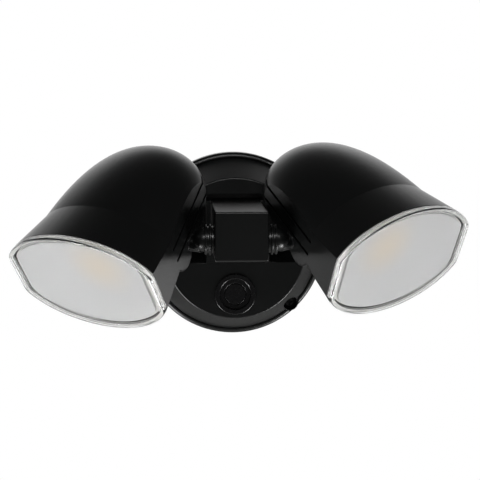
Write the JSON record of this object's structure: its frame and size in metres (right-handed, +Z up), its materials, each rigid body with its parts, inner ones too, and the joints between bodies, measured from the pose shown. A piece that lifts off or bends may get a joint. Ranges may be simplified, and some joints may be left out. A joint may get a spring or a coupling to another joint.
{
  "type": "motion sensor security light",
  "caption": "Wall-held floodlight: round housing with a sensor window and a block whose jointed arms carry oval lamp heads with frosted lenses.",
  "frame": {"origin": "centre of the two wall-box screw holes, on the wall plane", "axes": "+Z up, +Y into the wall, the light looks along -Y, +X to the viewer's right"},
  "size_m": [0.2837, 0.1511, 0.1344],
  "materials": {
    "black_paint": "satin black powder coat",
    "black_screw": "satin black coated steel",
    "sensor_black": "satin black plastic",
    "component_black": "matt",
    "terminal_white": "matt",
    "foam_rubber": "closed-cell foam",
    "black_rubber": "matt",
    "white_silicone": "translucent silicone",
    "zinc_steel": "zinc plated",
    "ground_green": "green coated steel",
    "circuit_board": "solder mask",
    "board_aluminium": "white coated board",
    "bare_aluminium": "as cast",
    "emitter_yellow": "phosphor resin",
    "white_reflector": "white gloss",
    "frosted_diffuser": "frosted",
    "clear_lens": "clear moulded polycarbonate"
  },
  "bodies": {
    "base": {"wall_gasket": "foam_rubber", "mounting_bracket": "zinc_steel", "ground_screw": "ground_green", "base_housing": "black_paint", "cover_gasket": "black_rubber", "cable_grommet": "black_rubber", "front_cover": "black_paint", "cover_screws": "black_screw", "arm_block": "black_paint", "arm_block_screws": "zinc_steel", "sensor_bezel": "sensor_black", "sensor_seal": "black_rubber", "sensor_window": "sensor_black", "sensor_board": "circuit_board", "sensor_screws": "zinc_steel", "sensor_can": "zinc_steel", "driver_board": "circuit_board", "driver_screws": "zinc_steel", "driver_transformer": "component_black", "driver_capacitors": "component_black", "terminal_block": "terminal_white"},
    "left_arm": {"left_arm_elbow": "black_paint", "left_arm_collar": "black_paint", "left_swivel_washer": "zinc_steel", "left_swivel_nut": "zinc_steel", "left_tilt_washer": "zinc_steel", "left_tilt_nut": "zinc_steel"},
    "left_head": {"left_head_shell": "black_paint", "left_lens_gasket": "white_silicone", "left_lens_cap": "clear_lens", "left_diffuser": "frosted_diffuser", "left_reflector": "white_reflector", "left_led_board": "board_aluminium", "left_led_emitter": "emitter_yellow", "left_heat_sink": "bare_aluminium", "left_head_seal": "black_rubber", "left_sink_screws": "zinc_steel"},
    "right_arm": {"right_arm_elbow": "black_paint", "right_arm_collar": "black_paint", "right_swivel_washer": "zinc_steel", "right_swivel_nut": "zinc_steel", "right_tilt_washer": "zinc_steel", "right_tilt_nut": "zinc_steel"},
    "right_head": {"right_head_shell": "black_paint", "right_lens_gasket": "white_silicone", "right_lens_cap": "clear_lens", "right_diffuser": "frosted_diffuser", "right_reflector": "white_reflector", "right_led_board": "board_aluminium", "right_led_emitter": "emitter_yellow", "right_heat_sink": "bare_aluminium", "right_head_seal": "black_rubber", "right_sink_screws": "zinc_steel"}
  },
  "joints": [
    {"name": "left_arm_swivel", "type": "hinge", "parent": "base", "child": "left_arm", "pos_m": [-0.0165, -0.1006, 0.0141], "axis": [1, 0, 0], "range_deg": [-3, 70]},
    {"name": "left_head_tilt", "type": "hinge", "parent": "left_arm", "child": "left_head", "pos_m": [-0.0238, -0.10033, 0.01141], "axis": [0.8572, -0.5125, -0.0512], "range_deg": [-2, 33]},
    {"name": "right_arm_swivel", "type": "hinge", "parent": "base", "child": "right_arm", "pos_m": [0.0165, -0.1006, 0.0141], "axis": [1, 0, 0], "range_deg": [0, 60]},
    {"name": "right_head_tilt", "type": "hinge", "parent": "right_arm", "child": "right_head", "pos_m": [0.0238, -0.09983, 0.01151], "axis": [0.8572, 0.4938, 0.1463], "range_deg": [0, 50]}
  ]
}
